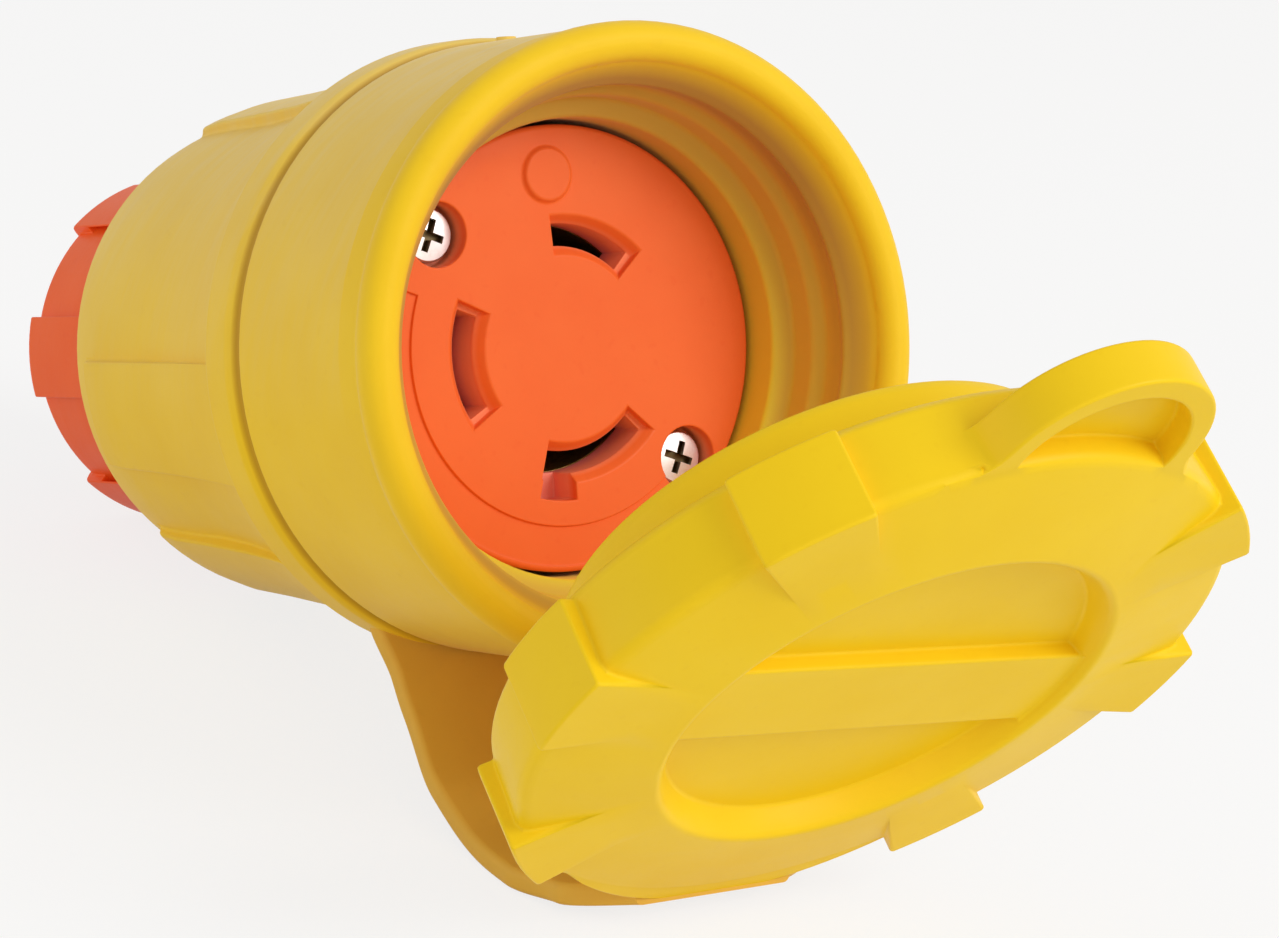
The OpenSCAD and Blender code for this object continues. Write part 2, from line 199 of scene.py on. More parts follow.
class Graph:
    """A node tree that is written as expressions."""

    def __init__(self, tree: bpy.types.NodeTree) -> None:
        """Empties the tree and keeps it."""
        tree.nodes.clear()
        self.tree = tree

    def node(
        self,
        kind: str,
        settings: dict[str, Any] | None = None,
        inputs: dict[str | int, Any] | None = None,
        output: str | int = 0,
    ) -> Channel:
        """Adds a node, sets it and links it.

        Args:
            kind: The node's type.
            settings: Its own settings, set first. A ramp's stops are (place, colour) pairs.
            inputs: Values or channels by socket name or index.
            output: The socket that the result stands for.

        Returns:
            That output as a channel.
        """
        made = self.tree.nodes.new(kind)
        for key, value in (settings or {}).items():
            if key == "stops":
                self._stops(made.color_ramp, value)
            else:
                setattr(made, key, value)
        for key, value in (inputs or {}).items():
            if isinstance(value, Channel):
                self.tree.links.new(value.socket, made.inputs[key])
            else:
                made.inputs[key].default_value = value
        outputs = made.outputs
        return Channel(self, outputs[output] if len(outputs) else None)

    @staticmethod
    def _stops(ramp: bpy.types.ColorRamp, stops: Sequence[tuple[float, float]]) -> None:
        """Sets a ramp's grey stops.

        Args:
            ramp: The ramp.
            stops: Place and grey value of each stop.
        """
        while len(ramp.elements) < len(stops):
            ramp.elements.new(0.5)
        for element, (place, grey) in zip(ramp.elements, stops):
            element.position = place
            element.color = (grey, grey, grey, 1.0)

    def mix(self, factor: Any, first: Any, second: Any) -> Channel:
        """Mixes two colours.

        Args:
            factor: How much of the second.
            first: The first colour.
            second: The second colour.

        Returns:
            The mixed colour.
        """
        return self.node("ShaderNodeMix", {"data_type": "RGBA"}, {0: factor, 6: first, 7: second}, 2)

    def place(self) -> Channel:
        """Gives the point in the piece's own metres."""
        return self.node("ShaderNodeTexCoord", output="Object")

    def _between(self, at: Channel, rest: Rest, way: Vector, start_mm: float, stop_mm: float) -> Channel:
        """Grows from 0 to 1 between two places along a direction.

        Args:
            at: The point.
            rest: Where the connector lies.
            way: The direction.
            start_mm: Where the value is 0, counted from the lip.
            stop_mm: Where the value is 1.

        Returns:
            Values from 0 to 1.
        """
        inputs = {0: at, 1: tuple(way)}
        along = self.node("ShaderNodeVectorMath", {"operation": "DOT_PRODUCT"}, inputs, "Value")
        start = rest.origin.dot(way) + start_mm * MM
        span = (stop_mm - start_mm) * MM
        return self.node("ShaderNodeClamp", None, {"Value": (along - start) * (1 / span)})

    def depth(self, at: Channel, rest: Rest, start_mm: float, stop_mm: float) -> Channel:
        """Grows from 0 to 1 between two places on the connector's axis."""
        return self._between(at, rest, rest.ahead, start_mm, stop_mm)

    def height(self, at: Channel, rest: Rest, start_mm: float, stop_mm: float) -> Channel:
        """Grows from 0 to 1 between two heights over the connector's axis."""
        return self._between(at, rest, rest.above, start_mm, stop_mm)

    def reach(self, at: Channel, rest: Rest, start_mm: float, stop_mm: float) -> Channel:
        """Grows from 0 to 1 between two distances from the connector's axis.

        Args:
            at: The point.
            rest: Where the connector lies.
            start_mm: The distance where the value is 0.
            stop_mm: The distance where the value is 1.

        Returns:
            Values from 0 to 1.
        """
        arm = self.node("ShaderNodeVectorMath", {"operation": "SUBTRACT"}, {0: at, 1: tuple(rest.origin)})
        inputs = {0: arm, 1: tuple(rest.ahead)}
        cross = self.node("ShaderNodeVectorMath", {"operation": "CROSS_PRODUCT"}, inputs)
        away = self.node("ShaderNodeVectorMath", {"operation": "LENGTH"}, {0: cross}, "Value")
        span = (stop_mm - start_mm) * MM
        return self.node("ShaderNodeClamp", None, {"Value": (away - start_mm * MM) * (1 / span)})

    def noise(self, at: Channel, size_mm: float, detail: float = 2.0, rough: float = 0.5) -> Channel:
        """Adds a noise.

        Args:
            at: Where it is read.
            size_mm: The size of its largest marks.
            detail: How many finer layers it has.
            rough: How strong those are.

        Returns:
            Values from 0 to 1.
        """
        inputs = {"Vector": at, "Scale": 1 / (size_mm * MM), "Detail": detail, "Roughness": rough}
        return self.node("ShaderNodeTexNoise", None, inputs)

    def ramp(self, value: Channel, stops: Sequence[tuple[float, float]]) -> Channel:
        """Shapes a value with a grey ramp."""
        return self.node("ShaderNodeValToRGB", {"stops": stops}, {0: value})

    def bump(self, height: Channel, depth_mm: float) -> Channel:
        """Turns heights from 0 to 1 into a normal, where 1 stands for a depth."""
        inputs = {"Height": height, "Distance": depth_mm * MM, "Strength": 1.0}
        return self.node("ShaderNodeBump", None, inputs)


@dataclass
class Rest:
    """Where the connector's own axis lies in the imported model's frame, read from the record."""

    mouth_x: float = -8.15
    origin: Vector = field(default_factory=Vector)
    ahead: Vector = field(default_factory=Vector)
    above: Vector = field(default_factory=Vector)

    def read(self, record: dict[str, Any]) -> Rest:
        """Reads the axis and the origin.

        Args:
            record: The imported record.

        Returns:
            This object.
        """
        mount = next(m for m in record["mounts"] if m["name"] == "mating_mouth")
        self.ahead = Vector(mount["axis"]).normalized()
        self.above = self.ahead.cross(Vector((0.0, 1.0, 0.0))).normalized()
        self.origin = Vector(mount["pos_m"]) - self.ahead * self.mouth_x * MM
        return self

    def point(self, x: float, y: float, z: float) -> Vector:
        """Gives a point of the connector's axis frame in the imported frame.

        Args:
            x: Along the axis, out of the mouth.
            y: To the side.
            z: Above the axis.

        Returns:
            The point in metres.
        """
        return self.origin + (self.ahead * x + self.above * z) * MM + Vector((0.0, y * MM, 0.0))


@dataclass(frozen=True)
class Layer:
    """A second tone that covers part of a finish, by its place along and around the connector's axis; most
    layers here are painted shade or light.
    """

    colour: Colour
    along_mm: Span
    until_mm: Span | None = None
    reach_mm: Span | None = None
    height_mm: Span | None = None
    strength: float = 1.0
    streaked: bool = False
    streak_share: float = 0.45

    def cover(self, graph: Graph, at: Channel, rest: Rest, streaks: Channel, base: Channel) -> Channel:
        """Lays the tone over a colour.

        Args:
            graph: The material's graph.
            at: The point.
            rest: Where the connector lies.
            streaks: Values from 0 to 1 that break up a streaked layer.
            base: The colour below.

        Returns:
            The new colour.
        """
        share = graph.depth(at, rest, *self.along_mm)
        if self.until_mm:
            share = share - graph.depth(at, rest, *self.until_mm)
        if self.reach_mm:
            share = share * graph.reach(at, rest, *self.reach_mm)
        if self.height_mm:
            share = share * graph.height(at, rest, *self.height_mm)
        if self.streaked:
            share = share * ((1 - self.streak_share) + streaks * self.streak_share)
        return graph.mix(share * self.strength, base, linear(self.colour))


@dataclass(frozen=True)
class Moulded:
    """A moulded rubber or plastic finish.

    Colour drifts slowly over the surface, with a fine grain, small pits and a few rubbed streaks.
    """

    name: str
    colour: Colour
    deep: Colour
    roughness: float = 0.45
    grain_mm: float = 0.35
    grain_depth_mm: float = 0.012
    drift_mm: float = 14.0
    drift: float = 0.5
    specular: float = 0.16
    sheen: float = 0.0
    layers: tuple[Layer, ...] = ()
    rub_mm: float = 1.6
    rub_stretch: tuple[float, float, float] = (1.0, 0.12, 0.12)
    pit_tone: float = 0.25
    grain_share: float = 0.6
    grain_rough: float = 0.1
    drift_rough: float = 0.05
    rub_rough: float = 0.04

    def material(self, rest: Rest) -> bpy.types.Material:
        """Builds the material.

        Args:
            rest: Where the connector lies.

        Returns:
            The new material.
        """
        made = bpy.data.materials.new(self.name)
        made.use_nodes = True
        graph = Graph(made.node_tree)
        at = graph.place()
        drift = graph.ramp(graph.noise(at, self.drift_mm, 3.0, 0.55), [(0.32, 0.0), (0.72, 1.0)])
        grain = graph.noise(at, self.grain_mm, 2.0, 0.6)
        pits = graph.ramp(graph.noise(at, self.grain_mm * 4, 1.0), [(0.24, 0.0), (0.34, 1.0)])
        stretched = graph.node("ShaderNodeMapping", None, {"Vector": at, "Scale": self.rub_stretch})
        rubbed = graph.ramp(graph.noise(stretched, self.rub_mm, 4.0, 0.6), [(0.38, 0.0), (0.72, 1.0)])
        colour = graph.mix(drift * self.drift, linear(self.colour), linear(self.deep))
        colour = graph.mix((1 - pits) * self.pit_tone, colour, linear(self.deep))
        for layer in self.layers:
            colour = layer.cover(graph, at, rest, rubbed, colour)
        rough = self.roughness + (grain - 0.5) * self.grain_rough + drift * self.drift_rough
        rough = rough - rubbed * self.rub_rough
        height = grain * self.grain_share + pits * (1 - self.grain_share)
        inputs = {
            "Base Color": colour,
            "Roughness": rough,
            "Specular IOR Level": self.specular,
            "Sheen Weight": self.sheen,
            "Normal": graph.bump(height, self.grain_depth_mm),
        }
        shader = graph.node("ShaderNodeBsdfPrincipled", None, inputs)
        graph.node("ShaderNodeOutputMaterial", None, {"Surface": shader})
        return made


@dataclass(frozen=True)
class Metal:
    """A plated or bare metal finish with faint handling marks."""

    name: str
    colour: Colour
    stain: Colour
    roughness: float = 0.25
    mark_mm: float = 1.2
    layers: tuple[Layer, ...] = ()
    mark_tone: float = 0.5
    mark_rough: float = 0.12
    brush_mm: float = 0.12
    brush_rough: float = 0.1
    brush_depth_mm: float = 0.004

    def material(self, rest: Rest) -> bpy.types.Material:
        """Builds the material.

        Args:
            rest: Where the connector lies.

        Returns:
            The new material.
        """
        made = bpy.data.materials.new(self.name)
        made.use_nodes = True
        graph = Graph(made.node_tree)
        at = graph.place()
        marks = graph.ramp(graph.noise(at, self.mark_mm, 4.0, 0.65), [(0.42, 0.0), (0.7, 1.0)])
        brushed = graph.noise(at, self.brush_mm)
        colour = graph.mix(marks * self.mark_tone, linear(self.colour), linear(self.stain))
        for layer in self.layers:
            colour = layer.cover(graph, at, rest, marks, colour)
        inputs = {
            "Base Color": colour,
            "Metallic": 1.0,
            "Roughness": self.roughness + marks * self.mark_rough + (brushed - 0.5) * self.brush_rough,
            "Normal": graph.bump(brushed, self.brush_depth_mm),
        }
        shader = graph.node("ShaderNodeBsdfPrincipled", None, inputs)
        graph.node("ShaderNodeOutputMaterial", None, {"Surface": shader})
        return made


class Rounding:
    """Rounds a mesh's feature edges.

    Every smooth patch is drawn in from its feature edges, and curved strips and corners close the gaps. Where
    a patch would fold, its corners are drawn in less.
    """

    def __init__(
        self, work: bmesh.types.BMesh, weights: dict[bmesh.types.BMEdge, float], width: float, segments: int
    ) -> None:
        """Finds the patches' corners.

        Args:
            work: The mesh with sharp edges.
            weights: The share of the width for each feature edge.
            width: The full width in metres.
            segments: How many steps a rounded edge has.
        """
        self.work = work
        self.weights = weights
        self.segments = segments
        self.corner: dict[tuple[bmesh.types.BMVert, bmesh.types.BMFace], int] = {}
        self.features: dict[bmesh.types.BMVert, int] = {}
        places: list[Vector] = []
        insets: list[Vector] = []
        for vert in work.verts:
            self.features[vert] = sum(edge in weights for edge in vert.link_edges)
            for fan in self._fans(vert):
                for face in fan:
                    self.corner[vert, face] = len(places)
                places.append(vert.co.copy())
                insets.append(self._inset([side for face in fan for side in self._sides(vert, face)]) * width)
        self.places = np.array(places)
        self.insets = np.array(insets)
        self.shares = np.ones(len(places))

    def _fans(self, vert: bmesh.types.BMVert) -> list[list[bmesh.types.BMFace]]:
        """Groups the faces round a vertex that no feature edge parts.

        Args:
            vert: The vertex.

        Returns:
            The groups.
        """
        left = set(vert.link_faces)
        fans: list[list[bmesh.types.BMFace]] = []
        while left:
            queue, fan = [left.pop()], []
            while queue:
                face = queue.pop()
                fan.append(face)
                for edge in vert.link_edges:
                    if edge not in self.weights and face in edge.link_faces:
                        near = [other for other in edge.link_faces if other in left]
                        left.difference_update(near)
                        queue.extend(near)
            fans.append(fan)
        return fans

    def _sides(self, vert: bmesh.types.BMVert, face: bmesh.types.BMFace) -> list[tuple[Vector, float]]:
        """Finds the feature edges that bound a face at a vertex.

        Args:
            vert: The vertex.
            face: The face.

        Returns:
            For each, the direction from the edge into the face and the edge's weight.
        """
        loop = next(item for item in face.loops if item.vert is vert)
        sides = []
        for step in (loop, loop.link_loop_prev):
            if step.edge in self.weights:
                along = step.link_loop_next.vert.co - step.vert.co
                sides.append((face.normal.cross(along).normalized(), self.weights[step.edge]))
        return sides

    @staticmethod
    def _inset(sides: Sequence[tuple[Vector, float]]) -> Vector:
        """Finds how far a corner is drawn in.

        Args:
            sides: The two edges' directions and weights.

        Returns:
            The step that lies at the right distance from both edges.
        """
        if len(sides) != 2:
            return Vector()
        (first, one), (second, two) = sides
        lean = first.dot(second)
        if lean > NEARLY_ALONG:
            return (first + second).normalized() * ((one + two) / 2)
        if lean < NEARLY_AGAINST:
            return Vector()
        scale = 1 / (1 - lean * lean)
        step = first * ((one - lean * two) * scale) + second * ((two - lean * one) * scale)
        return step * min(1.0, LONGEST_STEP * max(one, two) / max(step.length, 1e-9))

    def _settle(self, mesh: bpy.types.Mesh) -> int:
        """Draws corners in less where a patch's triangles fold over.

        Args:
            mesh: An empty mesh to try the patches in.

        Returns:
            How many corners stay at their sharp place.
        """
        patches = [[self.corner[vert, face] for vert in face.verts] for face in self.work.faces]
        outward = np.array([face.normal[:] for face in self.work.faces])
        sides = np.array([(a, b) for patch in patches for a, b in zip(patch, patch[1:] + patch[:1])])
        owner = np.repeat(np.arange(len(patches)), [len(patch) for patch in patches])
        before = self.places[sides[:, 1]] - self.places[sides[:, 0]]
        least = LEAST_LEFT * (before * before).sum(axis=1)
        mesh.from_pydata(self.places.tolist(), [], patches)
        for _ in range(TRIES):
            now = self.places + self.insets * self.shares[:, None]
            after = now[sides[:, 1]] - now[sides[:, 0]]
            moved = np.unique(sides[(before * after).sum(axis=1) < least])
            if not len(moved):
                moved = self._folded(mesh, now, outward)
            if len(moved) and not self.shares[moved].any():
                moved = np.unique(sides[np.isin(owner, owner[np.isin(sides[:, 0], moved)])])
            moved = moved[self.shares[moved] > 0]
            if not len(moved):
                break
            self.shares[moved] *= EASED
            self.shares[self.shares < LEAST_SHARE] = 0.0
        mesh.clear_geometry()
        return int((self.shares == 0).sum())

    @staticmethod
    def _folded(mesh: bpy.types.Mesh, now: np.ndarray, outward: np.ndarray) -> np.ndarray:
        """Finds the corners of triangles that face against their patch.

        Args:
            mesh: The patches.
            now: The corners' places.
            outward: The patches' first normals.

        Returns:
            The corners' numbers.
        """
        mesh.vertices.foreach_set("co", now.ravel())
        mesh.update()
        mesh.calc_loop_triangles()
        corners = np.empty(len(mesh.loop_triangles) * 3, dtype=np.int32)
        owners = np.empty(len(mesh.loop_triangles), dtype=np.int32)
        mesh.loop_triangles.foreach_get("vertices", corners)
        mesh.loop_triangles.foreach_get("polygon_index", owners)
        corners = corners.reshape(-1, 3)
        first, second, third = (now[corners[:, k]] for k in range(3))
        spread = np.cross(second - first, third - first)
        size = np.linalg.norm(spread, axis=1)
        facing = (spread * outward[owners]).sum(axis=1)
        folded = (size > LEAST_AREA) & (facing < LEAST_FACING * size)
        return np.unique(corners[folded])

    def fill(self, mesh: bpy.types.Mesh) -> int:
        """Fills a mesh with the rounded form.

        Args:
            mesh: The empty mesh.

        Returns:
            How many corners stay at their sharp place.
        """
        left = self._settle(mesh)
        points = [Vector(row) for row in self.places + self.insets * self.shares[:, None]]
        faces = [tuple(self.corner[vert, face] for vert in face.verts) for face in self.work.faces]
        arcs: dict[Any, list[int]] = {}
        ends: dict[bmesh.types.BMVert, list[list[int]]] = {}
        for edge in self.weights:
            loop = edge.link_loops[0]
            other = edge.link_loops[1].face
            near, far = loop.vert, loop.link_loop_next.vert
            strip = []
            for vert in (near, far):
                pair = (self.corner[vert, loop.face], self.corner[vert, other])
                arc = self._arc(vert, edge, pair, points, arcs)
                strip.append(arc)
                if self.features[vert] > 2:
                    ends.setdefault(vert, []).append(arc[::-1] if vert is near else arc)
            faces.extend(self._strip(strip[0], strip[1]))
        for vert, around in ends.items():
            middle = sum((points[arc[len(arc) // 2]] for arc in around), Vector()) / len(around)
            points.append(vert.co + (middle - vert.co) * CORNER_FULLNESS)
            for arc in around:
                faces.extend((len(points) - 1, arc[k], arc[k + 1]) for k in range(len(arc) - 1))
        mesh.from_pydata(points, [], faces)
        clean = bmesh.new()
        clean.from_mesh(mesh)
        bmesh.ops.remove_doubles(clean, verts=clean.verts, dist=FINE_WELD)
        bmesh.ops.dissolve_degenerate(clean, dist=FINE_WELD, edges=clean.edges)
        clean.to_mesh(mesh)
        clean.free()
        mesh.polygons.foreach_set("use_smooth", [True] * len(mesh.polygons))
        mesh.set_sharp_from_angle(angle=SHARP)
        return left

    def _arc(
        self,
        vert: bmesh.types.BMVert,
        edge: bmesh.types.BMEdge,
        pair: tuple[int, int],
        points: list[Vector],
        arcs: dict[Any, list[int]],
    ) -> list[int]:
        """Draws the curve across a feature edge at one of its ends.

        Args:
            vert: The end.
            edge: The edge.
            pair: The corners on its two sides.
            points: All points so far; new ones are added.
            arcs: The curves so far, which neighbouring edges share.

        Returns:
            The curve's points, from the first corner to the second.
        """
        if pair[0] == pair[1]:
            return [pair[0]]
        plain = self.features[vert] == 2
        key = (vert, None if plain else edge, min(pair), max(pair))
        if key not in arcs:
            first, last = points[min(pair)], points[max(pair)]
            pull = vert.co.copy()
            if not plain:
                along = (edge.other_vert(vert).co - vert.co).normalized()
                pull += along * max(0.0, ((first + last) / 2 - vert.co).dot(along))
            inner = []
            for step in range(1, self.segments):
                share = step / self.segments
                rest = 1 - share
                points.append(first * (rest * rest) + pull * (2 * share * rest) + last * (share * share))
                inner.append(len(points) - 1)
            arcs[key] = [min(pair), *inner, max(pair)]
        return arcs[key] if pair[0] < pair[1] else arcs[key][::-1]

    def _strip(self, near: list[int], far: list[int]) -> list[tuple[int, ...]]:
        """Joins the curves at an edge's two ends.

        Args:
            near: The curve at the first end.
            far: The curve at the second end.

        Returns:
            The strip's faces.
        """
        faces: list[tuple[int, ...]] = []
        for step in range(self.segments):
            if len(near) > 1 and len(far) > 1:
                faces.append((far[step], near[step], near[step + 1], far[step + 1]))
            elif len(near) > 1:
                faces.append((far[0], near[step], near[step + 1]))
            elif len(far) > 1:
                faces.append((far[step], near[0], far[step + 1]))
        return faces


@dataclass
class Moulding:
    """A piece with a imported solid's form and rounded edges."""

    name: str
    node: str
    body: Body
    slot: Slot
    edge_mm: float
    round_deg: float = 20.0
    crease_deg: float = 12.0
    segments: int = 4

    def build(self, nodes: dict[str, bpy.types.Object], finish: bpy.types.Material) -> bpy.types.Object:
        """Builds the piece in place of its node.

        Args:
            nodes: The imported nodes.
            finish: The piece's material.

        Returns:
            The new object.
        """
        work = bmesh.new()
        work.from_mesh(nodes[self.node].data)
        flats = work.faces.layers.int.new("flat")
        bmesh.ops.remove_doubles(work, verts=work.verts, dist=WELD)
        self._cut_flats(work, flats)
        bmesh.ops.dissolve_limit(
            work, angle_limit=FLAT, verts=work.verts, edges=work.edges, delimit={"SEAM"}
        )
        bmesh.ops.dissolve_degenerate(work, dist=SLIVER, edges=work.edges)
        mesh = bpy.data.meshes.new(self.name)
        left = Rounding(work, self._weights(work), self.edge_mm * MM, self.segments).fill(mesh)
        work.free()
        mesh.materials.append(finish)
        piece = bpy.data.objects.new(self.name, mesh)
        bpy.context.scene.collection.objects.link(piece)
        shading = piece.modifiers.new("shading", "WEIGHTED_NORMAL")
        shading.keep_sharp = True
        shading.weight = NORMAL_WEIGHT
        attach(piece, self.body.value)
        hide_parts(self.node)
        LOG.info("%s: %d faces for %s, %d corners kept sharp", self.name, len(mesh.polygons), self.node, left)
        return piece

    @staticmethod
    def _flat_regions(work: bmesh.types.BMesh) -> list[list[bmesh.types.BMFace]]:
        """Collects the faces that lie in one plane and touch.

        Args:
            work: The welded mesh.

        Returns:
            The groups of two faces or more.
        """
        regions: list[list[bmesh.types.BMFace]] = []
        seen: set[bmesh.types.BMFace] = set()
        for first in work.faces:
            if first in seen:
                continue
            seen.add(first)
            region, queue = [], [first]
            while queue:
                face = queue.pop()
                region.append(face)
                for edge in face.edges:
                    for other in edge.link_faces:
                        if other not in seen and first.normal.dot(other.normal) > math.cos(FLAT):
                            seen.add(other)
                            queue.append(other)
            if len(region) > 1:
                regions.append(region)
        return regions

    @staticmethod
    def _outlines(region: Sequence[bmesh.types.BMFace]) -> list[list[bmesh.types.BMEdge]]:
        """Collects the closed outlines of a flat region.

        Args:
            region: The region's faces.

        Returns:
            The edges of each outline, the largest outline first.
        """
        inside = set(region)
        rim = {e for f in region for e in f.edges if sum(o in inside for o in e.link_faces) == 1}
        outlines: list[list[bmesh.types.BMEdge]] = []
        while rim:
            queue, outline = [rim.pop()], []
            while queue:
                edge = queue.pop()
                outline.append(edge)
                near = [o for v in edge.verts for o in v.link_edges if o in rim]
                rim.difference_update(near)
                queue.extend(near)
            outlines.append(outline)
        outlines.sort(key=lambda edges: -sum(e.calc_length() for e in edges))
        return outlines

    def _cut_flats(self, work: bmesh.types.BMesh, flats: bmesh.types.BMLayerItem) -> None:
        """Cuts flat regions that have holes along lines that meet the holes squarely.

        Args:
            work: The welded mesh.
            flats: The face layer that numbers the regions.
        """
        todo: list[tuple[int, Vector, Vector]] = []
        for number, region in enumerate(self._flat_regions(work), 1):
            for face in region:
                face[flats] = number
            outlines = self._outlines(region)
            sides = [(e.verts[0].co.copy(), e.verts[1].co.copy()) for o in outlines for e in o]
            for outline in outlines[1:]:
                total = sum(e.calc_length() for e in outline)
                middle = Vector()
                for edge in outline:
                    middle += (edge.verts[0].co + edge.verts[1].co) * (edge.calc_length() / total / 2)
                todo.append((number, middle, self._square_cut(middle, region[0].normal, sides)))
        for number, middle, across in todo:
            region = [f for f in work.faces if f[flats] == number]
            edges = {e for f in region for e in f.edges}
            corners = {v for f in region for v in f.verts}
            geometry = region + list(edges) + list(corners)
            cut = bmesh.ops.bisect_plane(
                work, geom=geometry, dist=CUT_SNAP, plane_co=middle, plane_no=across
            )
            for item in cut["geom_cut"]:
                if isinstance(item, bmesh.types.BMEdge):
                    item.seam = True

    @staticmethod
    def _square_cut(middle: Vector, normal: Vector, sides: Sequence[tuple[Vector, Vector]]) -> Vector:
        """Finds the line through a point that crosses a region's outlines most squarely.

        Args:
            middle: The point.
            normal: The region's normal.
            sides: The ends of the outlines' edges.

        Returns:
            The normal of the cutting plane.
        """
        first = normal.orthogonal().normalized()
        second = normal.cross(first)
        best, chosen = -1.0, first
        for step in range(CUT_TURNS):
            turn = math.pi * step / CUT_TURNS
            across = first * math.cos(turn) + second * math.sin(turn)
            score = 1.0
            for start, stop in sides:
                if (start - middle).dot(across) * (stop - middle).dot(across) <= 0:
                    score = min(score, abs((stop - start).normalized().dot(across)))
            if score > best:
                best, chosen = score, across
        return chosen

    def _weights(self, work: bmesh.types.BMesh) -> dict[bmesh.types.BMEdge, float]:
        """Finds how much each feature edge may be rounded.

        Args:
            work: The cleaned mesh.

        Returns:
            A share of edge_mm for each edge above the crease angle; 0 keeps it as a crease.
        """
        bends = {e: e.calc_face_angle(0.0) for e in work.edges if len(e.link_faces) == 2}
        near = {e: a for e, a in bends.items() if a > BEND}
        weights: dict[bmesh.types.BMEdge, float] = {}
        for edge, angle in bends.items():
            if angle > math.radians(self.round_deg):
                room = min(self._room(edge, face, near) for face in edge.link_faces)
                weights[edge] = min(1.0, ROOM_SHARE * room / (self.edge_mm * MM))
            elif angle > math.radians(self.crease_deg):
                weights[edge] = 0.0
        return self._evened(weights)

    @staticmethod
    def _room(edge: bmesh.types.BMEdge, face: bmesh.types.BMFace, feature: dict[Any, float]) -> float:
        """Measures how far an edge lies from the feature edges across a face.

        Args:
            edge: The edge.
            face: One of its faces.
            feature: The feature edges.

        Returns:
            The distance in metres.
        """
        middle = (edge.verts[0].co + edge.verts[1].co) / 2
        ends = set(edge.verts)
        room = 1.0
        for other in face.edges:
            if other is edge or other not in feature or ends & set(other.verts):
                continue
            start, stop = other.verts[0].co, other.verts[1].co
            along = stop - start
            share = max(0.0, min(1.0, (middle - start).dot(along) / max(along.length_squared, 1e-18)))
            room = min(room, (start + along * share - middle).length)
        return room

    @staticmethod
    def _evened(weights: dict[bmesh.types.BMEdge, float]) -> dict[bmesh.types.BMEdge, float]:
        """Keeps the rounding from jumping along a run of edges.

        Args:
            weights: The first weights.

        Returns:
            Weights that differ less from one edge to the next.
        """
        for _ in range(EVENING_ROUNDS):
            fresh = {}
            for edge, weight in weights.items():
                around = [weights.get(other, 0.0) for vert in edge.verts for other in vert.link_edges]
                near = [other for other in around if other > 0]
                fresh[edge] = min(weight, (weight + min(near)) / 2) if near and weight > 0 else weight
            weights = fresh
        return weights


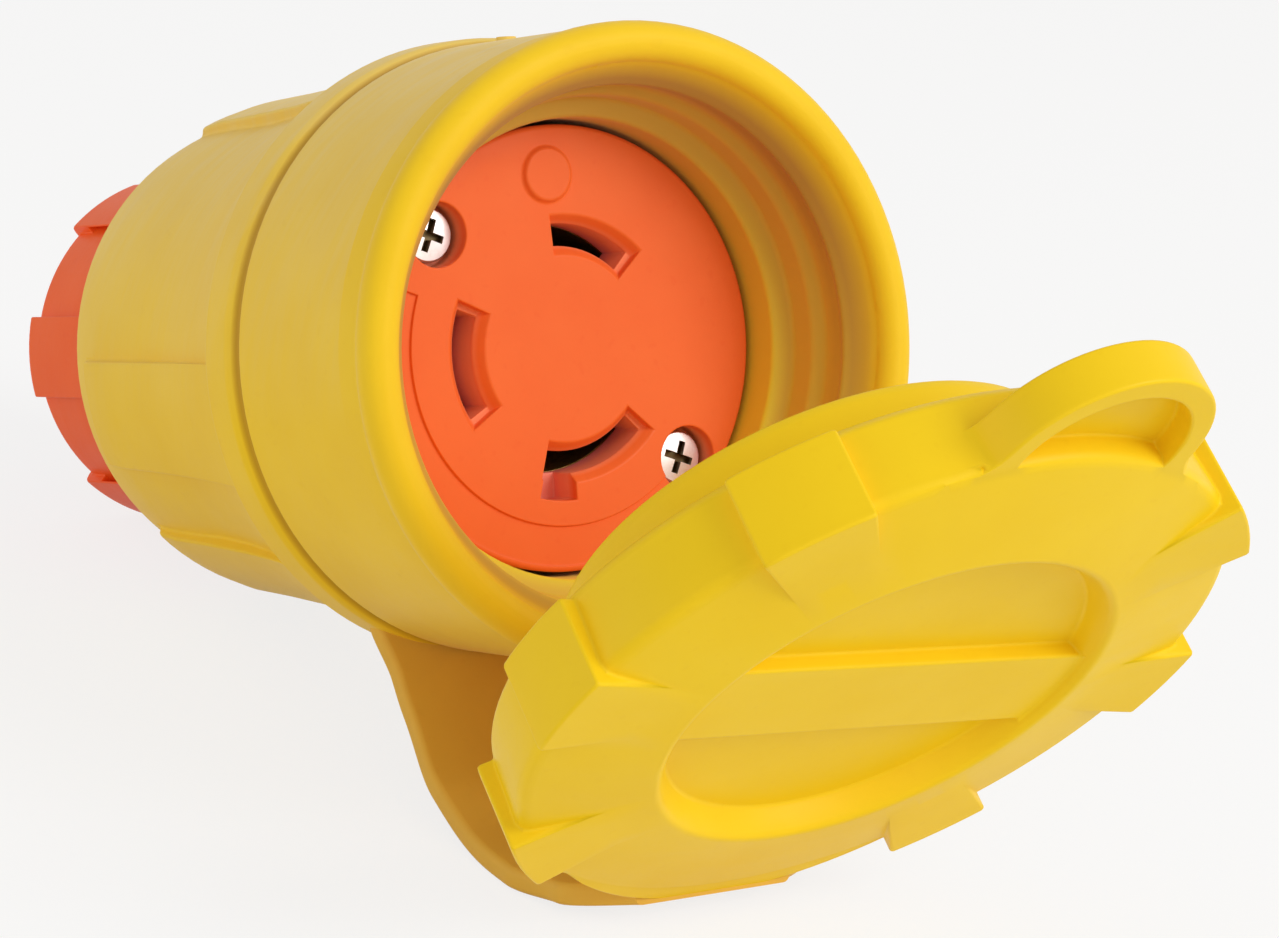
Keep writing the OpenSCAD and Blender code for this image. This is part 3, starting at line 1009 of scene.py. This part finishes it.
@dataclass
class TetherStrap:
    """The strap that loops from its ring under the mouth to the closure cap."""

    name: str = "tether_strap_moulding"
    centre_x: float = 6.0
    centre_z: float = -14.4
    outer_r: float = 36.5
    thick: float = 2.2
    halves: tuple[Span, ...] = (
        (-29.0, 15.8),
        (-26.0, 14.7),
        (-23.9, 14.8),
        (-17.0, 15.8),
        (-9.0, 16.1),
        (-4.0, 15.9),
        (2.0, 14.2),
        (8.2, 8.6),
    )
    start_deg: float = 199.0
    end_deg: float = 272.6
    corner: float = 0.75
    corner_steps: int = 5
    steps: int = 96
    blend_from: tuple[float, float, float] = (-22.0, 0.0, -37.0)
    blend_to: tuple[float, float, float] = (3.0, 0.0, -50.0)

    def section(self, half: float) -> list[Span]:
        """Draws the strap's cross section.

        Args:
            half: Half the width here.

        Returns:
            Points of (side, depth from the outer face).
        """
        points: list[Span] = []
        places = [(half, 0.0), (half, self.thick), (-half, self.thick), (-half, 0.0)]
        for number, (side, depth) in enumerate(places):
            middle_y = side - math.copysign(self.corner, side)
            middle_d = depth + (self.corner if depth == 0.0 else -self.corner)
            for step in range(self.corner_steps + 1):
                angle = math.radians(90.0 * (number - 1 + step / self.corner_steps))
                across = self.corner * math.cos(angle)
                points.append((middle_y + across, middle_d + self.corner * math.sin(angle)))
        return points

    def half_at(self, x: float) -> float:
        """Gives half the strap's width at a place along the axis.

        Args:
            x: The place along the axis.

        Returns:
            Half the width, eased between the listed places.
        """
        for (x0, half0), (x1, half1) in zip(self.halves, self.halves[1:]):
            if x <= x1:
                share = max(0.0, (x - x0) / (x1 - x0))
                return half0 + (half1 - half0) * share * share * (3 - 2 * share)
        return self.halves[-1][1]

    def build(self, rest: Rest, finish: bpy.types.Material) -> bpy.types.Object:
        """Builds the strap in place of its node.

        Args:
            rest: Where the connector lies.
            finish: The strap's material.

        Returns:
            The new object.
        """
        rings: list[list[Vector]] = []
        for step in range(self.steps + 1):
            angle = math.radians(self.start_deg + (self.end_deg - self.start_deg) * step / self.steps)
            middle_x = self.centre_x + self.outer_r * math.cos(angle)
            ring = []
            for side, depth in self.section(self.half_at(middle_x)):
                reach = self.outer_r - depth
                x = self.centre_x + reach * math.cos(angle)
                z = self.centre_z + reach * math.sin(angle)
                ring.append(rest.point(x, side, z))
            rings.append(ring)
        count = len(rings[0])
        vertices = [p for ring in rings for p in ring]
        faces = []
        for row in range(self.steps):
            for k in range(count):
                here, there = row * count, (row + 1) * count
                faces.append((here + k, here + (k + 1) % count, there + (k + 1) % count, there + k))
        faces.append(tuple(reversed(range(count))))
        faces.append(tuple(self.steps * count + k for k in range(count)))
        mesh = bpy.data.meshes.new(self.name)
        mesh.from_pydata(vertices, [], faces)
        work = bmesh.new()
        work.from_mesh(mesh)
        bmesh.ops.recalc_face_normals(work, faces=work.faces)
        work.to_mesh(mesh)
        work.free()
        mesh.polygons.foreach_set("use_smooth", [True] * len(mesh.polygons))
        mesh.set_sharp_from_angle(angle=STRAP_SHARP)
        mesh.materials.append(finish)
        strap = bpy.data.objects.new(self.name, mesh)
        bpy.context.scene.collection.objects.link(strap)
        start = rest.point(*self.blend_from)
        end = rest.point(*self.blend_to)
        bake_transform(strap)
        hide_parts("tether_strap")
        LOG.info("%s: %d faces", self.name, len(mesh.polygons))
        return strap


@dataclass
class Finishes:
    """Every finish on the connector; layers paint shade and light into the mouth, the seam, the slots and the
    screw recesses, and a sheen over the outer band's dusty film.
    """

    body: Moulded = Moulded(
        "body_yellow_rubber",
        (250, 208, 32),
        (242, 196, 28),
        0.5,
        0.4,
        0.014,
        sheen=0.1,
        layers=(
            # A pale dusty film on the outer band behind the flash line, broken by rubbed streaks; its growth
            # towards the top is a painted sheen.
            Layer((236, 218, 176), (-4.15, -4.35), None, (24.0, 25.5), (-6.0, 27.0), 0.42, True),
            # Painted shade: a darker, duller tone on the mouth's inner walls from about 2 to 22 mm deep.
            Layer((214, 172, 72), (-2.0, -6.0), (-17.0, -22.0), (27.0, 26.0)),
            # Painted shade: a darker brown tone on the mouth's entry just inside the lip.
            Layer((188, 140, 60), (0.8, -1.6), (-4.0, -6.5), (27.5, 26.5)),
            # Painted light: a brighter yellow on the mouth's front inner walls, stronger towards the bottom.
            Layer((255, 226, 64), (-0.6, -2.4), (-9.6, -10.6), (27.5, 26.5), (16.0, -10.0), 0.5),
            # Painted light: a brighter yellow on the deep chamber walls near the face, stronger towards the
            # bottom.
            Layer((255, 240, 60), (-9.9, -10.7), (-15.5, -16.5), (28.5, 27.5), (20.0, -8.0), 0.8),
            # Painted shade: a dark line in the seam between the strap ring and the front band.
            Layer((168, 112, 26), (-24.2, -24.45), (-25.0, -25.4), strength=0.6),
        ),
    )
    strap: Moulded = Moulded("strap_yellow_rubber", (236, 188, 76), (224, 172, 68), 0.52, 0.4, 0.014)
    cap: Moulded = Moulded("cap_yellow_rubber", (250, 211, 27), (244, 201, 23), 0.42, 0.3, 0.008)
    face: Moulded = Moulded(
        "face_orange_plastic",
        (250, 116, 54),
        (244, 102, 46),
        0.42,
        0.3,
        0.01,
        # Painted light and shade in the slots and screw pockets: a lighter pink tone on the walls just below
        # the face, then a painted mauve reflection and shade on the deeper walls.
        layers=(Layer((255, 158, 118), (-14.6, -15.6)), Layer((240, 142, 140), (-17.0, -19.5))),
    )
    nut: Moulded = Moulded("nut_orange_plastic", (254, 104, 32), (248, 92, 28), 0.44, 0.4, 0.012)
    carrier: Moulded = Moulded("carrier_black_plastic", (34, 34, 36), (22, 22, 24), 0.5)
    bushing: Moulded = Moulded("bushing_black_rubber", (30, 30, 31), (20, 20, 21), 0.65)
    washer: Moulded = Moulded("washer_white_plastic", (222, 222, 216), (208, 208, 200), 0.4)
    screw: Metal = Metal(
        "screw_nickel_plate",
        (236, 228, 224),
        (200, 190, 184),
        0.36,
        # Painted shade: a dark brown tone in the screw heads' cross recesses and on the heads below their
        # tops.
        layers=(Layer((100, 84, 58), (-15.85, -16.3)),),
    )
    contact: Metal = Metal("contact_brass", (206, 168, 92), (160, 118, 60), 0.3)
    clamp: Metal = Metal("clamp_zinc_plate", (188, 190, 192), (140, 142, 146), 0.35)


@dataclass(frozen=True)
class SoftBox:
    """A soft lamp that points at the connector: its place and size in metres, its power in watts."""

    name: str
    place: tuple[float, float, float]
    size: Span
    power: float
    aim: tuple[float, float, float] = (0.0, 0.0, 0.04)

    def build(self) -> None:
        """Hangs the lamp."""
        data = bpy.data.lights.new(self.name, "AREA")
        data.shape = "RECTANGLE"
        data.size, data.size_y = self.size
        data.energy = self.power
        lamp = bpy.data.objects.new(self.name, data)
        bpy.context.scene.collection.objects.link(lamp)
        lamp.location = self.place
        lamp.rotation_mode = "QUATERNION"
        way = Vector(self.aim) - Vector(self.place)
        lamp.rotation_quaternion = way.to_track_quat("-Z", "Y")


@dataclass
class Studio:
    """The pale floor, the soft light and the camera of the photograph."""

    focal_px: float = 3716.86
    sensor_mm: float = 36.0
    eye: tuple[float, float, float] = (0.289903, -0.192543, 0.150069)
    right: tuple[float, float, float] = (0.535215, 0.834430, 0.131409)
    up: tuple[float, float, float] = (-0.339971, 0.070380, 0.937798)
    back: tuple[float, float, float] = (0.773279, -0.546600, 0.321350)
    ambient: float = 0.5
    warm: Colour = (1.0, 0.96, 0.91)
    backdrop: float = 0.9
    floor_half: float = 6.0
    floor_tone: float = 0.86
    floor_glow: float = 0.8
    lamps: tuple[SoftBox, ...] = (
        SoftBox("key_softbox", (0.76, 0.42, 0.67), (0.6, 0.6), 6.0),
        SoftBox("side_softbox", (-0.2, -0.78, 0.06), (0.8, 0.3), 1.35),
        SoftBox("front_softbox", (0.7, -0.49, 0.3), (0.25, 0.25), 0.5),
    )

    def camera(self) -> None:
        """Places the camera."""
        data = bpy.data.cameras.new("photo_view")
        data.sensor_fit = "HORIZONTAL"
        data.sensor_width = self.sensor_mm
        data.lens = self.focal_px / IMAGE_WIDTH * self.sensor_mm
        data.clip_start = 0.01
        data.clip_end = 50.0
        camera = bpy.data.objects.new("photo_view", data)
        bpy.context.scene.collection.objects.link(camera)
        turn = Matrix((self.right, self.up, self.back)).transposed().to_4x4()
        turn.translation = Vector(self.eye)
        camera.matrix_world = turn
        bpy.context.scene.camera = camera

    @staticmethod
    def seen(graph: Graph) -> Channel:
        """Tells rays that see the background, or its mirror image, from those that light the part.

        Args:
            graph: The material's or the world's graph.

        Returns:
            1 for a ray that sees the background, else 0.
        """
        kinds = ("Is Camera Ray", "Is Glossy Ray", "Is Transmission Ray")
        camera, glossy, through = (graph.node("ShaderNodeLightPath", output=kind) for kind in kinds)
        return camera + glossy + through

    def world(self) -> None:
        """Makes the even white surround."""
        world = bpy.data.worlds.new("white_surround")
        bpy.context.scene.world = world
        world.use_nodes = True
        graph = Graph(world.node_tree)
        warm = (*self.warm, 1.0)
        light = graph.node("ShaderNodeBackground", None, {"Color": warm, "Strength": self.ambient})
        shown = graph.node("ShaderNodeBackground", None, {"Color": WHITE, "Strength": self.backdrop})
        both = graph.node("ShaderNodeMixShader", None, {0: self.seen(graph), 1: light, 2: shown})
        graph.node("ShaderNodeOutputWorld", None, {"Surface": both})

    def floor(self) -> None:
        """Lays the pale floor."""
        half = self.floor_half
        mesh = bpy.data.meshes.new("floor")
        corners = [(-half, -half, 0.0), (half, -half, 0.0), (half, half, 0.0), (-half, half, 0.0)]
        mesh.from_pydata(corners, [], [(0, 1, 2, 3)])
        made = bpy.data.materials.new("pale_floor")
        made.use_nodes = True
        graph = Graph(made.node_tree)
        tone = self.floor_tone
        matt = graph.node("ShaderNodeBsdfDiffuse", None, {"Color": (tone, tone, tone, 1.0)})
        white = graph.node("ShaderNodeEmission", None, {"Color": WHITE, "Strength": 1.0})
        share = self.seen(graph) * self.floor_glow
        both = graph.node("ShaderNodeMixShader", None, {0: share, 1: matt, 2: white})
        graph.node("ShaderNodeOutputMaterial", None, {"Surface": both})
        mesh.materials.append(made)
        floor = bpy.data.objects.new("floor", mesh)
        bpy.context.scene.collection.objects.link(floor)

    def build(self) -> None:
        """Builds the whole studio."""
        self.camera()
        self.world()
        self.floor()
        for lamp in self.lamps:
            lamp.build()
        bpy.context.scene.view_settings.view_transform = "Standard"


@dataclass
class Connector:
    """The whole part: mouldings, strap and the inner pieces."""

    frame: dict[str, Any]
    finishes: Finishes = field(default_factory=Finishes)
    rest: Rest = field(default_factory=Rest)
    mouldings: tuple[tuple[Moulding, str], ...] = (
        (Moulding("housing_moulding", "housing", Body.CONNECTOR, Slot.YELLOW_BODY, 0.5), "body"),
        (Moulding("ring_moulding", "strap_ring", Body.CONNECTOR, Slot.YELLOW_BODY, 0.25), "body"),
        (Moulding("face_moulding", "contact_face", Body.CONNECTOR, Slot.ORANGE_FACE, 0.2), "face"),
        (Moulding("nut_moulding", "compression_nut", Body.NUT, Slot.ORANGE_NUT, 0.35), "nut"),
        (Moulding("cap_moulding", "closure_cap", Body.CAP, Slot.YELLOW_CAP, 0.34, 36.0, 36.0), "cap"),
    )
    inner: tuple[tuple[str, str], ...] = (
        ("contact_carrier", "carrier"),
        ("line_contact", "contact"),
        ("neutral_contact", "contact"),
        ("ground_contact", "contact"),
        ("line_clamp", "clamp"),
        ("neutral_clamp", "clamp"),
        ("ground_clamp", "clamp"),
        ("line_screw", "screw"),
        ("neutral_screw", "screw"),
        ("ground_screw", "screw"),
        ("captive_nut_upper", "clamp"),
        ("captive_nut_lower", "clamp"),
        ("assembly_screw_upper", "screw"),
        ("assembly_screw_lower", "screw"),
        ("gland_bushing", "bushing"),
        ("thrust_washer", "washer"),
    )

    def build(self) -> None:
        """Builds and dresses every piece."""
        nodes = self.frame["nodes"]
        self.rest.read(self.frame["record"])
        names = [item.name for item in fields(self.finishes)]
        made = {name: getattr(self.finishes, name).material(self.rest) for name in names}
        for moulding, finish in self.mouldings:
            moulding.build(nodes, made[finish])
        TetherStrap().build(self.rest, made["strap"])
        for node, finish in self.inner:
            slots = nodes[node].data.materials
            slots.clear()
            slots.append(made[finish])
            LOG.info("%s: %s", node, made[finish].name)


def main() -> None:
    """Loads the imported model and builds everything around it."""
    logging.basicConfig(level=logging.INFO, format="%(name)s: %(message)s")
    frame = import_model()
    Studio().build()
    Connector(frame).build()


if __name__ == "__main__":
    main()
